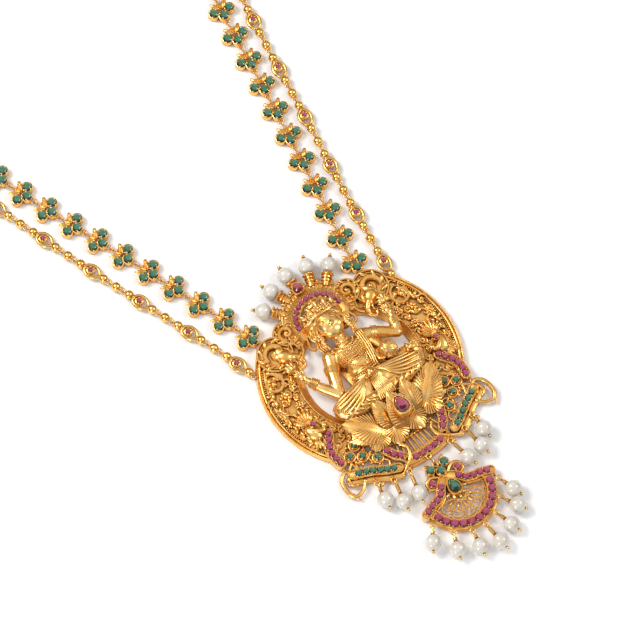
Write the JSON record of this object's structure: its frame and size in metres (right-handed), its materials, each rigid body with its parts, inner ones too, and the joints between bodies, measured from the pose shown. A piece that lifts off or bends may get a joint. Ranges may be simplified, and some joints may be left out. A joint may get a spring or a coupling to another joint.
{
  "type": "temple jewellery necklace",
  "caption": "Long two-strand gold necklace with a round pendant: seated figure on a lotus, haloed, with ruby and emerald bands and hanging pearls.",
  "frame": {"origin": "middle of the pendant's ring, on the plane that the necklace rests on", "axes": "+Y along the pendant towards the neck, +X to the right of the pendant seen from the front, +Z out of the resting plane"},
  "size_m": [0.117, 0.3282, 0.0113],
  "materials": {
    "gold": "matte antique gold",
    "ruby": "cut and polished",
    "emerald": "cut and polished",
    "pearl": "soft lustre"
  },
  "bodies": {
    "root": {"ring_frame": "gold", "goddess_figure": "gold", "lotus_base": "gold", "lower_gallery": "gold", "drop_bail": "gold", "drop_frame": "gold", "gallery_pearl_pins": "gold", "drop_pearl_pins": "gold", "emerald_chain_left": "gold", "emerald_chain_right": "gold", "bead_chain_left": "gold", "bead_chain_right": "gold", "end_plate_left": "gold", "end_plate_right": "gold", "back_chain_left": "gold", "back_chain_right": "gold", "clasp": "gold", "halo_pear_ruby": "ruby", "lotus_pear_ruby": "ruby", "peacock_eye_left": "ruby", "peacock_eye_right": "ruby", "halo_rubies": "ruby", "side_band_rubies": "ruby", "gallery_rubies": "ruby", "drop_rubies": "ruby", "drop_pear_emerald": "emerald", "gallery_emeralds": "emerald", "drop_emeralds": "emerald", "crown_pearl_1": "pearl", "crown_pearl_2": "pearl", "crown_pearl_3": "pearl", "crown_pearl_4": "pearl", "crown_pearl_5": "pearl", "gallery_pearl_1": "pearl", "gallery_pearl_2": "pearl", "gallery_pearl_3": "pearl", "gallery_pearl_4": "pearl", "gallery_pearl_5": "pearl", "gallery_pearl_6": "pearl", "drop_pearl_1": "pearl", "drop_pearl_2": "pearl", "drop_pearl_3": "pearl", "drop_pearl_4": "pearl", "drop_pearl_5": "pearl", "drop_pearl_6": "pearl", "drop_pearl_7": "pearl"}
  },
  "joints": []
}
